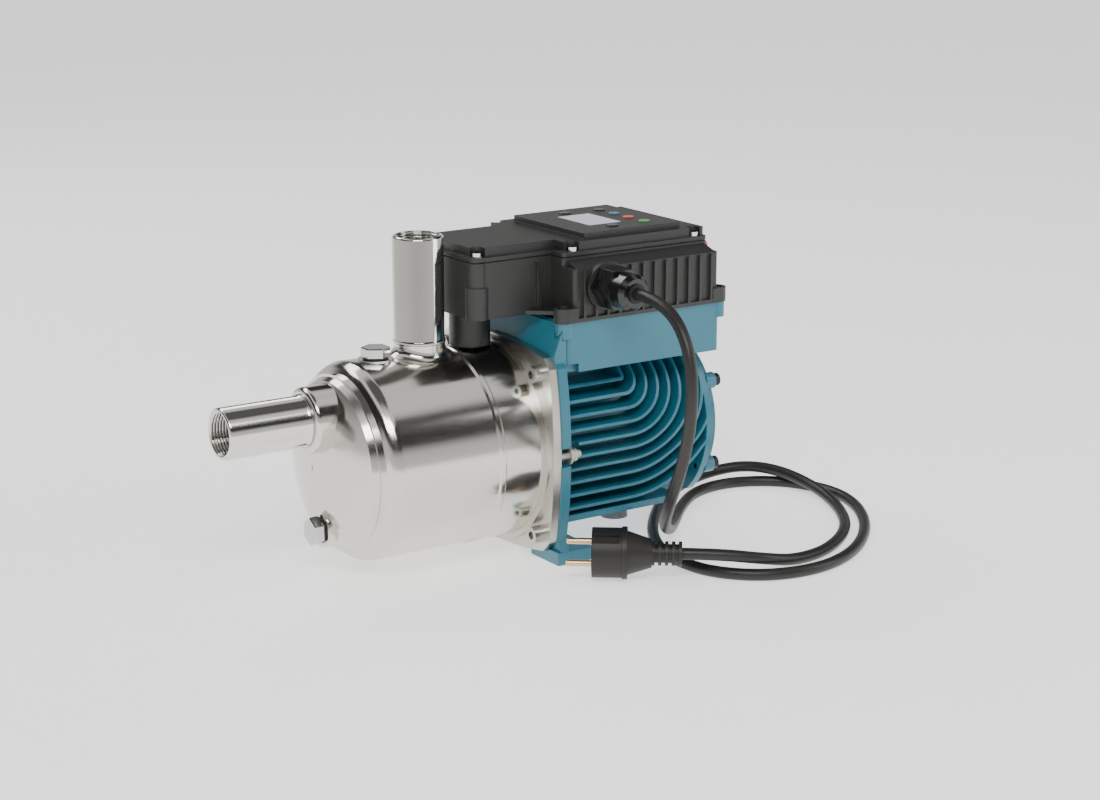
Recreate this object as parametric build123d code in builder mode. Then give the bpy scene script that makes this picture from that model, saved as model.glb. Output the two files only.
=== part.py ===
"""Horizontal multistage pump with its own speed drive, mains lead and plug.

Millimetres. +X runs along the shaft from the pump end to the motor end, +Z is up,
and the origin is on the floor in the middle of the two feet of the motor bracket.
"""

from build123d import *
from math import cos, pi, radians, sin, sqrt, tan
import os

# ---------------------------------------------------------------- driving sizes
shaft_z = 83.0                  # shaft height over the feet
joint_x = -13.0                 # plane where pump end and motor bracket meet

# drawn steel casing
casing_r = 74.5
casing_wall = 2.0
casing_front_x = -143.7         # where the straight barrel ends at the front
shoulder_round = 8.0            # rounding of the two bends between barrel and front
dome_edge_r = 62.0
dome_edge_x = -162.0
dome_rise = 16.0                # how far the domed front stands out from its edge
lip_r = 77.0                    # turned-out lip that the flange clamps
lip_t = 2.0
bead_x = -60.0                  # pressed stiffening bead round the barrel
bead_rise = 1.3

# pipes, both with a G1 female thread
pipe_r = 19.0
port_r = 15.15                  # core radius of the G1 thread
port_depth = 20.0
pipe_bore_r = 16.2
suction_z = shaft_z + 36.4
suction_end_x = -250.5
suction_face_x = -185.0         # flat face of the formed suction boss
suction_boss_r = 24.6
boss_round = 4.0                # rounding of the boss's front edge
discharge_x = -86.0
neck_top_z = shaft_z + casing_r + 8.5
discharge_top_z = neck_top_z + 79.8
neck_flare = 8.0                # the neck is this much wider at its foot
sensor_x = -42.0                # flow sensor, under the nose of the drive
sensor_stem_r = 8.0

# plugs
fill_x = -123.0
drain_z = shaft_z - 48.0
drain_seat_rise = 0.4           # the drain's seat stands this far out of the dome
plug_thread_r = 8.3
plug_hex = 19.0                 # across flats
plug_head_t = 7.0
plug_boss_r = 13.0
plug_lift = 12.0                # thread length that a plug unscrews over

# clamping flange and its screws
flange_t = 3.0
flange_half = 74.0              # half width at the cut corners
flange_bulge = 80.5             # half width in the middle of a side
flange_corner = 66.5            # where a side ends and the cut corner begins
screw_pitch = 61.8              # screws sit this far from the shaft, both ways
screw_r = 4.0
screw_head_r = 6.5
screw_head_t = 8.0

# hydraulic stages
stages = 3
stage_pitch = 33.0
stage_front_x = -146.0
stage_r = 60.0
stage_wall = 1.6
impeller_r = 50.0
impeller_w = 20.0
impeller_gap = 1.5              # running gap to the fixed parts
impeller_hub_r = 12.0
eye_r = 24.0
impeller_vanes = 6
guide_vanes = 8

# shaft, bearings and mechanical seal
wet_r = 7.0
front_seat_r = 8.5
rotor_seat_r = 11.0
rear_seat_r = 7.5
shaft_front_x = -152.0
front_bearing_r = 20.0
front_bearing_w = 12.0
front_bearing_x = 6.0
rear_bearing_r = 17.5
rear_bearing_w = 11.0
rear_bearing_x = 121.0
seal_r = 13.0
run_gap = 0.05                  # radial clearance of a sliding fit
clear = 0.3                     # clearance between pieces that pass each other

# motor bracket and feet
bracket_t = 8.0
foot_half_y = 81.0
foot_in_y = 44.0
foot_half_x = 16.0
foot_t = 10.0
foot_hole_y = 64.0
foot_slot_w = 9.0
foot_slot_len = 24.0

# motor
stator_r = 50.0
frame_wall = 5.0
frame_end_x = 134.0
fin_r = 72.5                    # upper envelope of the cooling fins
fin_side_y = 71.0               # flat sides of the lower envelope
fin_pitch = 10.0
fin_t = 2.4
fin_low_z = shaft_z - 44.0
fins = 10
bend_x = 57.0                   # centre of the nested bends of the fins
bend_z = shaft_z + 49.0
frame_low_z = shaft_z - 55.0
base_end_x = 104.0              # the flat base ends where the outermost bend rises
notch_len = 11.0                # notch at the box's lower front corners
notch_rise = 6.5
core_x0 = 35.0
core_x1 = 95.0
rotor_r = 27.7
air_gap = 0.6
slots = 12

# blue box on the motor that carries the drive
box_x0 = -3.0
box_x1 = 139.0
box_y = 71.6
box_z0 = shaft_z + 61.0
box_z1 = box_z0 + 38.0
box_wall = 4.0

# black drive housing, its nose over the pump, and its lid
drive_x0 = 4.0
drive_x1 = 137.0
drive_y = 74.0
drive_rib_top = box_z1 + 39.0
drive_top_z = box_z1 + 45.2
lid_y = 57.0
nose_x0 = -63.0
nose_y = 40.0
nose_z0 = box_z1 + 3.0
plastic = 3.0
gasket_t = 0.8
lid_rim_t = 3.2
panel_x0 = 29.0
panel_x1 = 117.0
panel_y = 48.0
panel_z = drive_top_z + 14.8
nose_top_z = drive_top_z + 10.8
lid_screw_r = 2.0
lid_screw_head_r = 3.8

# keypad and window
window_x0 = 52.0
window_x1 = 81.0
window_y = 21.5
button_r = 4.6
button_flange_r = 5.8
button_rise = 0.9
button_travel = 0.8
near_row_x = 66.0
far_row_x = 97.0

# cable gland and mains lead
gland_x = 32.0
gland_z = box_z1 + 25.0
gland_hex = 29.0
gland_stem_r = 12.5
gland_end_y = -110.0
cord_r = 4.5

# mains plug, 16 A two-pin with side earth
plug_r = 18.5
plug_ring_r = 19.4
plug_pin_r = 2.4
plug_pin_pitch = 19.0

# ---------------------------------------------------------------- shared places
shaft_axis = Axis((0, 0, shaft_z), (1, 0, 0))
flange_x = joint_x - 2 * lip_t - flange_t       # front face of the clamping flange
lip_x = flange_x + flange_t                     # the casing lip seats behind the flange
plate_x = lip_x + lip_t                         # the seal plate seats behind the lip
bracket_x = joint_x + bracket_t                 # back face of the bracket
lid_z = drive_top_z + gasket_t
skin_z = panel_z - plastic                      # underside of the lid's panel
screw_spots = [(y, shaft_z + z) for y in (-screw_pitch, screw_pitch) for z in (-screw_pitch, screw_pitch)]
os.makedirs("parts", exist_ok=True)


def on_shaft(points):
    """Points given as (x, radius) about the shaft, moved to sketch coordinates."""
    return [(x, shaft_z + r) for x, r in points]


def save(piece, name):
    """Label a finished piece and write it to its own file."""
    piece.part.label = name
    export_step(piece.part, f"parts/{name}.step")


# ---------------------------------------------------------------- casing
front_corner_x = dome_edge_x + 9.0              # foot of the stepped ring
front_corner_r = dome_edge_r + 5.5
inner_edge_r = dome_edge_r - casing_wall
dome_ball_r = (dome_edge_r ** 2 + dome_rise ** 2) / (2 * dome_rise)


def dome_at(radius, wall=0.0):
    """Place along the shaft of the round dome, at a distance from the shaft."""
    return dome_edge_x - dome_rise + dome_ball_r - sqrt((dome_ball_r - wall) ** 2 - radius ** 2)


drain_face_x = dome_at(shaft_z - drain_z - plug_hex / 2) - drain_seat_rise

with BuildPart() as casing_shell:
    with BuildSketch(Plane.XZ):
        with BuildLine():
            Polyline(
                on_shaft([
                    (front_corner_x, 0),
                    (plate_x, 0),
                    (plate_x, lip_r),
                    (lip_x, lip_r),
                    (lip_x, casing_r),
                    (casing_front_x, casing_r),
                    (casing_front_x - 6.0, casing_r - 2.6),
                    (front_corner_x, front_corner_r),
                ]),
                close=True,
            )
        make_face()
    revolve(axis=shaft_axis)
    shoulder_edges = casing_shell.edges().filter_by(
        lambda edge: casing_front_x - 6.5 < edge.center().X < casing_front_x + 0.5
    )
    fillet(shoulder_edges, shoulder_round)
    with BuildSketch(Plane.XZ):
        with BuildLine():
            Polyline(
                on_shaft([
                    (dome_at(0), 0),
                    (front_corner_x, 0),
                    (front_corner_x, front_corner_r),
                    (front_corner_x - 4.4, front_corner_r - 1.2),
                    (front_corner_x - 4.4, front_corner_r - 3.0),
                    (dome_edge_x, dome_edge_r),
                ])
            )
            ThreePointArc(
                (dome_edge_x, shaft_z + dome_edge_r),
                (dome_at(dome_edge_r / 2), shaft_z + dome_edge_r / 2),
                (dome_at(0), shaft_z),
            )
        make_face()
    revolve(axis=shaft_axis)
    # formed boss that carries the suction pipe, flush with the top of the dome's edge
    with BuildSketch(Plane.YZ.offset(suction_face_x)):
        with Locations((0, suction_z)):
            Circle(suction_boss_r)
    extrude(amount=front_corner_x - suction_face_x)
    rim_edges = casing_shell.edges().filter_by(
        lambda edge: abs(edge.center().X - suction_face_x) < 0.01 and edge.geom_type == GeomType.CIRCLE
    )
    fillet(rim_edges, boss_round)
    with BuildSketch(Plane.YZ.offset(drain_face_x)):
        with Locations((0, drain_z)):
            Circle(plug_boss_r)
    extrude(amount=front_corner_x - drain_face_x)
    # drawn neck under the discharge pipe, blended into the barrel
    crown_z = shaft_z + casing_r
    with BuildSketch(Plane.XY.offset(shaft_z + casing_r / 2)):
        with Locations((discharge_x, 0)):
            Circle(pipe_r)
    extrude(amount=neck_top_z - shaft_z - casing_r / 2)
    foot_edges = casing_shell.edges(Select.LAST).filter_by(
        lambda edge: shaft_z < edge.bounding_box().max.Z < crown_z + 1
    )
    fillet(foot_edges, neck_flare)
    # pressed bead, which runs up to the neck
    with BuildSketch(Plane.XZ):
        with BuildLine():
            Polyline(
                on_shaft([
                    (bead_x + 3, casing_r - 1),
                    (bead_x + 3, casing_r),
                    (bead_x + 1.5, casing_r + bead_rise),
                    (bead_x - 1.5, casing_r + bead_rise),
                    (bead_x - 3, casing_r),
                    (bead_x - 3, casing_r - 1),
                ]),
                close=True,
            )
        make_face()
    revolve(axis=shaft_axis)
    # flat seat of the filling plug
    with BuildSketch(Plane.XY.offset(crown_z - 10)):
        with Locations((fill_x, 0)):
            Circle(plug_boss_r)
    extrude(amount=10.5)
    # hollow inside, one wall thick
    with BuildSketch(Plane.XZ):
        with BuildLine():
            Polyline(
                on_shaft([
                    (dome_at(0, casing_wall), 0),
                    (plate_x, 0),
                    (plate_x, casing_r - casing_wall),
                    (casing_front_x, casing_r - casing_wall),
                    (casing_front_x - 6.0, casing_r - 2.6 - casing_wall),
                    (front_corner_x + casing_wall, front_corner_r - casing_wall),
                    (front_corner_x + casing_wall, inner_edge_r),
                    (dome_at(inner_edge_r, casing_wall), inner_edge_r),
                ])
            )
            ThreePointArc(
                (dome_at(inner_edge_r, casing_wall), shaft_z + inner_edge_r),
                (dome_at(inner_edge_r / 2, casing_wall), shaft_z + inner_edge_r / 2),
                (dome_at(0, casing_wall), shaft_z),
            )
        make_face()
    revolve(axis=shaft_axis, mode=Mode.SUBTRACT)
    with BuildSketch(Plane.YZ.offset(suction_face_x)):
        with Locations((0, suction_z)):
            Circle(pipe_bore_r)
    extrude(amount=40, mode=Mode.SUBTRACT)
    with BuildSketch(Plane.YZ.offset(suction_face_x + casing_wall)):
        with Locations((0, suction_z)):
            Circle(suction_boss_r - casing_wall)
    extrude(amount=front_corner_x - suction_face_x, mode=Mode.SUBTRACT)
    with BuildSketch(Plane.XY.offset(neck_top_z)):
        with Locations((discharge_x, 0)):
            Circle(pipe_bore_r)
    extrude(amount=-40, mode=Mode.SUBTRACT)
    with BuildSketch(Plane.YZ.offset(drain_face_x)):
        with Locations((0, drain_z)):
            Circle(plug_thread_r + run_gap)
    extrude(amount=20, mode=Mode.SUBTRACT)
    with BuildSketch(Plane.XY.offset(crown_z + 0.5)):
        with Locations((fill_x, 0)):
            Circle(plug_thread_r + run_gap)
    extrude(amount=-20, mode=Mode.SUBTRACT)
    with BuildSketch(Plane.XY.offset(crown_z + 1)):
        with Locations((sensor_x, 0)):
            Circle(sensor_stem_r + run_gap)
    extrude(amount=-20, mode=Mode.SUBTRACT)
save(casing_shell, "casing_shell")


def outline(grow):
    """Square with bulged sides and cut corners, shared by the flange and the bracket."""
    half, corner, bulge = flange_half + grow, flange_corner, flange_bulge + grow
    sides = []
    for turn in range(4):
        ends = [Vector(half, -corner).rotate(Axis.Z, 90 * turn), Vector(half, corner).rotate(Axis.Z, 90 * turn)]
        middle = Vector(bulge, 0).rotate(Axis.Z, 90 * turn)
        sides.append((ends[0], middle, ends[1]))
    return [tuple((p.X, p.Y + shaft_z) for p in side) for side in sides]


def square_flange(grow, start_x, thickness):
    """The shared outline as a plate from start_x towards +X."""
    with BuildPart() as plate:
        with BuildSketch(Plane.YZ.offset(start_x)):
            with BuildLine():
                sides = outline(grow)
                for number, side in enumerate(sides):
                    ThreePointArc(*side)
                    Line(side[2], sides[(number + 1) % 4][0])
            make_face()
        extrude(amount=thickness)
    return plate.part


def bar(x0, x1, radius, y=0.0, z=shaft_z, mode=Mode.ADD):
    """Add, or cut, a round bar along X in the part being built."""
    with BuildSketch(Plane.YZ.offset(x0)) as section:
        with Locations((y, z)):
            Circle(radius)
    extrude(section.sketch, amount=x1 - x0, mode=mode)


def tube(x0, x1, outer, inner):
    """Add a ring or tube about the shaft in the part being built."""
    with BuildSketch(Plane.YZ.offset(x0)) as section:
        with Locations((0, shaft_z)):
            Circle(outer)
            Circle(inner, mode=Mode.SUBTRACT)
    extrude(section.sketch, amount=x1 - x0)


# ---------------------------------------------------------------- clamping flange
with BuildPart() as casing_flange:
    add(square_flange(0, flange_x, joint_x - flange_x))
    add(square_flange(-3.0, lip_x, 20), mode=Mode.SUBTRACT)
    bar(flange_x - 4.0, flange_x, casing_r + 4.5)
    bar(flange_x - 10, 0, casing_r + run_gap, mode=Mode.SUBTRACT)
    for y, z in screw_spots:
        bar(flange_x - 5, 0, screw_head_r + 1.5, y, z, mode=Mode.SUBTRACT)
        bar(flange_x, joint_x, screw_head_r + 1.5, y, z)
        bar(flange_x - 1, 0, screw_r + run_gap, y, z, mode=Mode.SUBTRACT)
save(casing_flange, "casing_flange")

# ---------------------------------------------------------------- pipes
with BuildPart() as suction_pipe:
    with BuildSketch(Plane.YZ.offset(suction_end_x)):
        with Locations((0, suction_z)):
            Circle(pipe_r)
    extrude(amount=suction_face_x - suction_end_x)
    with BuildSketch(Plane.YZ.offset(suction_end_x)):
        with Locations((0, suction_z)):
            Circle(port_r)
    extrude(amount=port_depth, mode=Mode.SUBTRACT)
    with BuildSketch(Plane.YZ.offset(suction_end_x + port_depth)):
        with Locations((0, suction_z)):
            Circle(pipe_bore_r)
    extrude(amount=100, mode=Mode.SUBTRACT)
save(suction_pipe, "suction_pipe")

with BuildPart() as discharge_pipe:
    with BuildSketch(Plane.XY.offset(neck_top_z)):
        with Locations((discharge_x, 0)):
            Circle(pipe_r)
    extrude(amount=discharge_top_z - neck_top_z)
    with BuildSketch(Plane.XY.offset(discharge_top_z)):
        with Locations((discharge_x, 0)):
            Circle(port_r)
    extrude(amount=-port_depth, mode=Mode.SUBTRACT)
    with BuildSketch(Plane.XY.offset(discharge_top_z - port_depth)):
        with Locations((discharge_x, 0)):
            Circle(pipe_bore_r)
    extrude(amount=-100, mode=Mode.SUBTRACT)
save(discharge_pipe, "discharge_pipe")

# ---------------------------------------------------------------- plugs and their seals
seal_t = 1.6
fill_seat_z = shaft_z + casing_r + 0.5
fill_head = Plane.XY.offset(fill_seat_z + seal_t)
drain_head = Plane(origin=(drain_face_x - seal_t, 0, 0), x_dir=(0, -1, 0), z_dir=(-1, 0, 0))
for plug_name, seat, at, thread in (
    ("filling_plug", fill_head, (fill_x, 0), plug_lift + seal_t),
    ("drain_plug", drain_head, (0, drain_z), plug_lift + seal_t),
):
    with BuildPart() as screw_plug:
        with BuildSketch(seat):
            with Locations(at):
                RegularPolygon(plug_hex / 2, 6, major_radius=False, rotation=30)
        extrude(amount=plug_head_t)
        chamfer(screw_plug.faces().sort_by(Axis(seat.origin, seat.z_dir))[-1].edges(), 0.8)
        with BuildSketch(seat):
            with Locations(at):
                Circle(plug_thread_r)
        extrude(amount=-thread)
    save(screw_plug, plug_name)
    with BuildPart() as plug_seal:
        with BuildSketch(seat):
            with Locations(at):
                Circle(plug_hex / 2)
                Circle(plug_thread_r + clear, mode=Mode.SUBTRACT)
        extrude(amount=-seal_t)
    save(plug_seal, f"{plug_name}_seal")

# ---------------------------------------------------------------- casing screws
bracket_thread = bracket_x - joint_x - 1.0
with BuildPart() as casing_screws:
    for y, z in screw_spots:
        bar(flange_x - screw_head_t, flange_x, screw_head_r, y, z)
        bar(flange_x, joint_x + bracket_thread, screw_r, y, z)
        with BuildSketch(Plane.YZ.offset(flange_x - screw_head_t)):
            with Locations((y, z)):
                RegularPolygon(3.0, 6, major_radius=False)
        extrude(amount=4.5, mode=Mode.SUBTRACT)
save(casing_screws, "casing_screws")

# ---------------------------------------------------------------- seal plate and casing seal
hub_x = plate_x - 11.0
with BuildPart() as seal_plate:
    with BuildSketch(Plane.XZ):
        with BuildLine():
            Polyline(
                on_shaft([
                    (joint_x, wet_r + 3.0),
                    (joint_x, lip_r),
                    (plate_x, lip_r),
                    (plate_x, casing_r - casing_wall - 4.0),
                    (plate_x - 3.0, casing_r - casing_wall - 4.0),
                    (plate_x - 3.0, seal_r + 4.0),
                    (hub_x, seal_r + 4.0),
                    (hub_x, seal_r + run_gap),
                    (plate_x - 1.0, seal_r + run_gap),
                    (plate_x - 1.0, wet_r + 3.0),
                ]),
                close=True,
            )
        make_face()
    revolve(axis=shaft_axis)
save(seal_plate, "seal_plate")

with BuildPart() as casing_seal:
    with BuildSketch(Plane.XZ):
        with BuildLine():
            Polyline(
                on_shaft([
                    (plate_x, casing_r - casing_wall - 3.9),
                    (plate_x, casing_r - casing_wall - 0.1),
                    (plate_x - 3.0, casing_r - casing_wall - 0.1),
                    (plate_x - 3.0, casing_r - casing_wall - 3.9),
                ]),
                close=True,
            )
        make_face()
    revolve(axis=shaft_axis)
save(casing_seal, "casing_seal")

# ---------------------------------------------------------------- stages
def across(x):
    """Sketch plane square to the shaft, centred on it."""
    return Plane(origin=(x, 0, shaft_z), x_dir=(0, 1, 0), z_dir=(1, 0, 0))


hub_overlap = stage_wall + impeller_gap         # each hub reaches the next one
shroud = 1.5
for number in range(stages):
    cup_x = stage_front_x + number * stage_pitch
    wheel_x = cup_x + hub_overlap
    back_x = wheel_x + impeller_w
    with BuildPart() as stage_casing:
        bar(cup_x, cup_x + stage_pitch, stage_r)
        bar(cup_x + stage_wall, cup_x + stage_pitch, stage_r - stage_wall, mode=Mode.SUBTRACT)
        bar(cup_x, cup_x + stage_wall, eye_r + clear, mode=Mode.SUBTRACT)
        # guide vanes that lead the water back to the next eye
        vane_len = stage_r - eye_r
        with BuildSketch(across(back_x + impeller_gap)):
            with PolarLocations(eye_r + vane_len / 2, guide_vanes):
                Rectangle(vane_len - stage_wall / 2, stage_wall)
        extrude(amount=cup_x + stage_pitch - back_x - impeller_gap)
    save(stage_casing, f"stage_casing_{number + 1}")

    with BuildPart() as impeller:
        bar(wheel_x, wheel_x + stage_pitch, impeller_hub_r)
        tube(wheel_x, wheel_x + shroud, impeller_r, eye_r - 3)
        bar(back_x - shroud, back_x, impeller_r)
        with BuildSketch(across(wheel_x + shroud)):
            with PolarLocations(impeller_r * 0.6, impeller_vanes):
                Rectangle(impeller_r * 0.72, shroud, rotation=24)
        extrude(amount=impeller_w - 2 * shroud)
        bar(wheel_x - 5, wheel_x + stage_pitch + 5, wet_r, mode=Mode.SUBTRACT)
    save(impeller, f"impeller_{number + 1}")
stack_end_x = stage_front_x + stages * stage_pitch
last_hub_x = stack_end_x + hub_overlap

with BuildPart() as impeller_nut:
    with BuildSketch(across(stage_front_x + hub_overlap - 8)):
        RegularPolygon(9.5, 6, major_radius=False)
        Circle(wet_r, mode=Mode.SUBTRACT)
    extrude(amount=8)
save(impeller_nut, "impeller_nut")

# ring with windows that holds the stages against the seal plate
ring_end_x = plate_x - 3.0
with BuildPart() as stage_spacer:
    bar(stack_end_x, ring_end_x, stage_r)
    bar(stack_end_x, ring_end_x, stage_r - stage_wall, mode=Mode.SUBTRACT)
    with BuildSketch(across(stack_end_x + 5)):
        with PolarLocations(stage_r, 6):
            Rectangle(12, 26)
    extrude(amount=ring_end_x - stack_end_x - 10, mode=Mode.SUBTRACT)
save(stage_spacer, "stage_spacer")

# ---------------------------------------------------------------- mechanical seal
seat_front_x = hub_x - 1.0
with BuildPart() as seal_seat:
    bar(seat_front_x, plate_x - 1.0, seal_r)
    bar(seat_front_x, plate_x - 1.0, wet_r + 1.0, mode=Mode.SUBTRACT)
save(seal_seat, "seal_seat")

with BuildPart() as seal_head:
    bar(last_hub_x, seat_front_x - 0.1, seal_r - 1)
    bar(last_hub_x + 1, seat_front_x - 6, seal_r + 1)
    bar(last_hub_x, seat_front_x, wet_r, mode=Mode.SUBTRACT)
save(seal_head, "seal_head")

# ---------------------------------------------------------------- shaft and rotor
front_seat_x = joint_x + 3.0
shaft_end_x = rear_bearing_x + rear_bearing_w
with BuildPart() as shaft:
    with BuildSketch(Plane.XZ):
        with BuildLine():
            Polyline(
                on_shaft([
                    (shaft_front_x, 0),
                    (shaft_front_x, wet_r - 1),
                    (shaft_front_x + 1, wet_r),
                    (front_seat_x, wet_r),
                    (front_seat_x, front_seat_r),
                    (front_bearing_x + front_bearing_w, front_seat_r),
                    (front_bearing_x + front_bearing_w, rotor_seat_r),
                    (rear_bearing_x, rotor_seat_r),
                    (rear_bearing_x, rear_seat_r),
                    (shaft_end_x, rear_seat_r),
                    (shaft_end_x, 0),
                ]),
                close=True,
            )
        make_face()
    revolve(axis=shaft_axis)
save(shaft, "shaft")

with BuildPart() as rotor_core:
    bar(core_x0, core_x1, rotor_r)
    bar(core_x0 - 5, core_x1 + 5, rotor_r - 2)
    bar(core_x0 - 5, core_x1 + 5, rotor_seat_r, mode=Mode.SUBTRACT)
save(rotor_core, "rotor_core")

# ---------------------------------------------------------------- ball bearings
balls = 8
for name, x0, width, bore, outer in (
    ("front_bearing", front_bearing_x, front_bearing_w, front_seat_r, front_bearing_r),
    ("rear_bearing", rear_bearing_x, rear_bearing_w, rear_seat_r, rear_bearing_r),
):
    pitch = (bore + outer) / 2
    ball_r = (outer - bore) * 0.28
    land = (outer - bore) * 0.3
    groove = Pos(x0 + width / 2, 0, shaft_z) * Rot(0, 90, 0) * Torus(pitch, ball_r + run_gap)
    for ring_name, r0, r1 in (("outer", outer - land, outer), ("inner", bore, bore + land)):
        with BuildPart() as race:
            bar(x0, x0 + width, r1)
            bar(x0, x0 + width, r0, mode=Mode.SUBTRACT)
            add(groove, mode=Mode.SUBTRACT)
        save(race, f"{name}_{ring_name}")
    with BuildPart() as ball_set:
        with Locations(across(x0 + width / 2)):
            with PolarLocations(pitch, balls):
                Sphere(ball_r)
    save(ball_set, f"{name}_balls")

# ---------------------------------------------------------------- stator
slot_in = rotor_r + air_gap + 3.5
slot_out = stator_r - 6.0
slot_w = 9.0
with BuildPart() as stator_core:
    bar(core_x0, core_x1, stator_r)
    bar(core_x0, core_x1, rotor_r + air_gap, mode=Mode.SUBTRACT)
    with BuildSketch(across(core_x0)):
        with PolarLocations((slot_in + slot_out) / 2, slots):
            Rectangle(slot_out - slot_in, slot_w)
    extrude(amount=core_x1 - core_x0, mode=Mode.SUBTRACT)
save(stator_core, "stator_core")

coil_w = 12.0
with BuildPart() as stator_winding:
    with BuildSketch(across(core_x0)):
        with PolarLocations((slot_in + slot_out) / 2, slots):
            Rectangle(slot_out - slot_in - 2 * clear, slot_w - 2 * clear)
    extrude(amount=core_x1 - core_x0)
    for start in (core_x0 - coil_w, core_x1):
        tube(start, start + coil_w, slot_out, slot_in)
save(stator_winding, "stator_winding")

# ---------------------------------------------------------------- motor bracket with its feet
hub_end_x = front_bearing_x + front_bearing_w
foot_web_z = shaft_z - flange_corner + 6
throat_z = shaft_z + stator_r + frame_wall + 2
ear_x0 = box_x0 + 1.0
ear_spots = [(x, y) for x in (ear_x0, box_x1) for y in (-box_y + 5, box_y - 5)]
ear_boss_r = 6.5
with BuildPart() as motor_bracket:
    add(square_flange(1.0, joint_x, bracket_t))
    bar(bracket_x, bracket_x + 6, stator_r - run_gap)
    bar(bracket_x, hub_end_x, front_bearing_r + 5)
    # throat that rises from the plate to the front of the blue box
    with BuildSketch(Plane.YZ.offset(joint_x)):
        with BuildLine():
            Polyline(
                (-flange_corner, throat_z),
                (-box_y, box_z0 + 4),
                (-box_y, box_z1 - 1),
                (box_y, box_z1 - 1),
                (box_y, box_z0 + 4),
                (flange_corner, throat_z),
                close=True,
            )
        make_face()
    extrude(amount=box_x0 - joint_x)
    with BuildSketch(Plane.XZ):
        with BuildLine():
            Polyline(
                (joint_x - 1, shaft_z + flange_half + 1),
                (joint_x - 1, box_z1),
                (box_x0 - 2, box_z1),
                close=True,
            )
        make_face()
    extrude(amount=2 * box_y, both=True, mode=Mode.SUBTRACT)
    # feet
    for side in (-1, 1):
        with BuildSketch(Plane.XY):
            with Locations((0, side * (foot_half_y + foot_in_y) / 2)):
                Rectangle(2 * foot_half_x, foot_half_y - foot_in_y)
        extrude(amount=foot_t)
        with BuildSketch(Plane.YZ.offset(joint_x)):
            with BuildLine():
                Polyline(
                    (side * foot_in_y, 0),
                    (side * foot_half_y, 0),
                    (side * foot_half_y, foot_t),
                    (side * (flange_corner + 4), foot_web_z),
                    (side * foot_in_y, foot_web_z),
                    close=True,
                )
            make_face()
        extrude(amount=bracket_t)
        # bolt slot, open towards the motor
        with BuildSketch(Plane.XY):
            with Locations((foot_half_x, side * foot_hole_y)):
                SlotCenterToCenter(2 * foot_half_x, foot_slot_w)
        extrude(amount=foot_t, mode=Mode.SUBTRACT)
    # room for the flange in front of the feet and for the corner bosses of the box
    add(square_flange(0.5, joint_x - 20, 20), mode=Mode.SUBTRACT)
    for x, y in ear_spots:
        with BuildSketch(Plane.XY.offset(box_z1 - 12.3)):
            with Locations((x, y)):
                Circle(ear_boss_r + clear)
        extrude(amount=20, mode=Mode.SUBTRACT)
    # seats and holes
    bar(joint_x, front_bearing_x - 3, front_seat_r + 6, mode=Mode.SUBTRACT)
    bar(joint_x, hub_end_x, front_seat_r + 1.5, mode=Mode.SUBTRACT)
    bar(front_bearing_x, hub_end_x, front_bearing_r, mode=Mode.SUBTRACT)
    for y, z in screw_spots:
        bar(joint_x, joint_x + bracket_thread, screw_r + run_gap, y, z, mode=Mode.SUBTRACT)
    # open slots for the side studs
    for side in (-1, 1):
        with BuildSketch(Plane.YZ.offset(joint_x)):
            with Locations((side * (flange_bulge + 2), shaft_z)):
                Rectangle(22, 14)
        extrude(amount=bracket_t, mode=Mode.SUBTRACT)
save(motor_bracket, "motor_bracket")

# studs on the flange with nuts behind the bracket, one in each side slot
stud_y = flange_bulge - 5.0
with BuildPart() as side_studs:
    for side in (-1, 1):
        bar(joint_x, bracket_x + 11, 3.0, side * stud_y)
        bar(bracket_x, bracket_x + 1.6, 7.0, side * stud_y)
        bar(bracket_x + 1.6, bracket_x + 6.8, 5.2, side * stud_y)
save(side_studs, "side_studs")

# ---------------------------------------------------------------- motor frame
shield_t = 7.0
shield_screw_r = 67.0
shield_spots = [
    (shield_screw_r * cos(radians(turn)), shaft_z + shield_screw_r * sin(radians(turn)))
    for turn in (30, 150, 210, 330)
]
shield_back_x = frame_end_x + shield_t
side_low = fin_side_y - 3.0
rim_t = 6.0
with BuildSketch(Plane.YZ.offset(bracket_x)) as envelope:
    with Locations((0, shaft_z)):
        Circle(fin_r)
    with Locations((0, (frame_low_z + shaft_z) / 2)):
        Rectangle(2 * fin_side_y, shaft_z - frame_low_z)
    with Locations((0, frame_low_z - 50)):
        Rectangle(300, 100, mode=Mode.SUBTRACT)
fin_len = frame_end_x - bracket_x
with BuildPart() as fin_block:
    for number in range(fins):
        low = bend_z - 3.0 - fin_pitch * number
        right = bend_x + 3.0 + fin_pitch * number
        bend = 3.0 + fin_pitch * number
        with BuildSketch(Plane.XZ):
            with BuildLine() as centre:
                Line((bracket_x - 1, low), (bend_x, low))
                RadiusArc((bend_x, low), (right, bend_z), -bend)
                Line((right, bend_z), (right, box_z0 + 1))
            trace(line_width=fin_t)
        extrude(amount=fin_r + 5, both=True)
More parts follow.
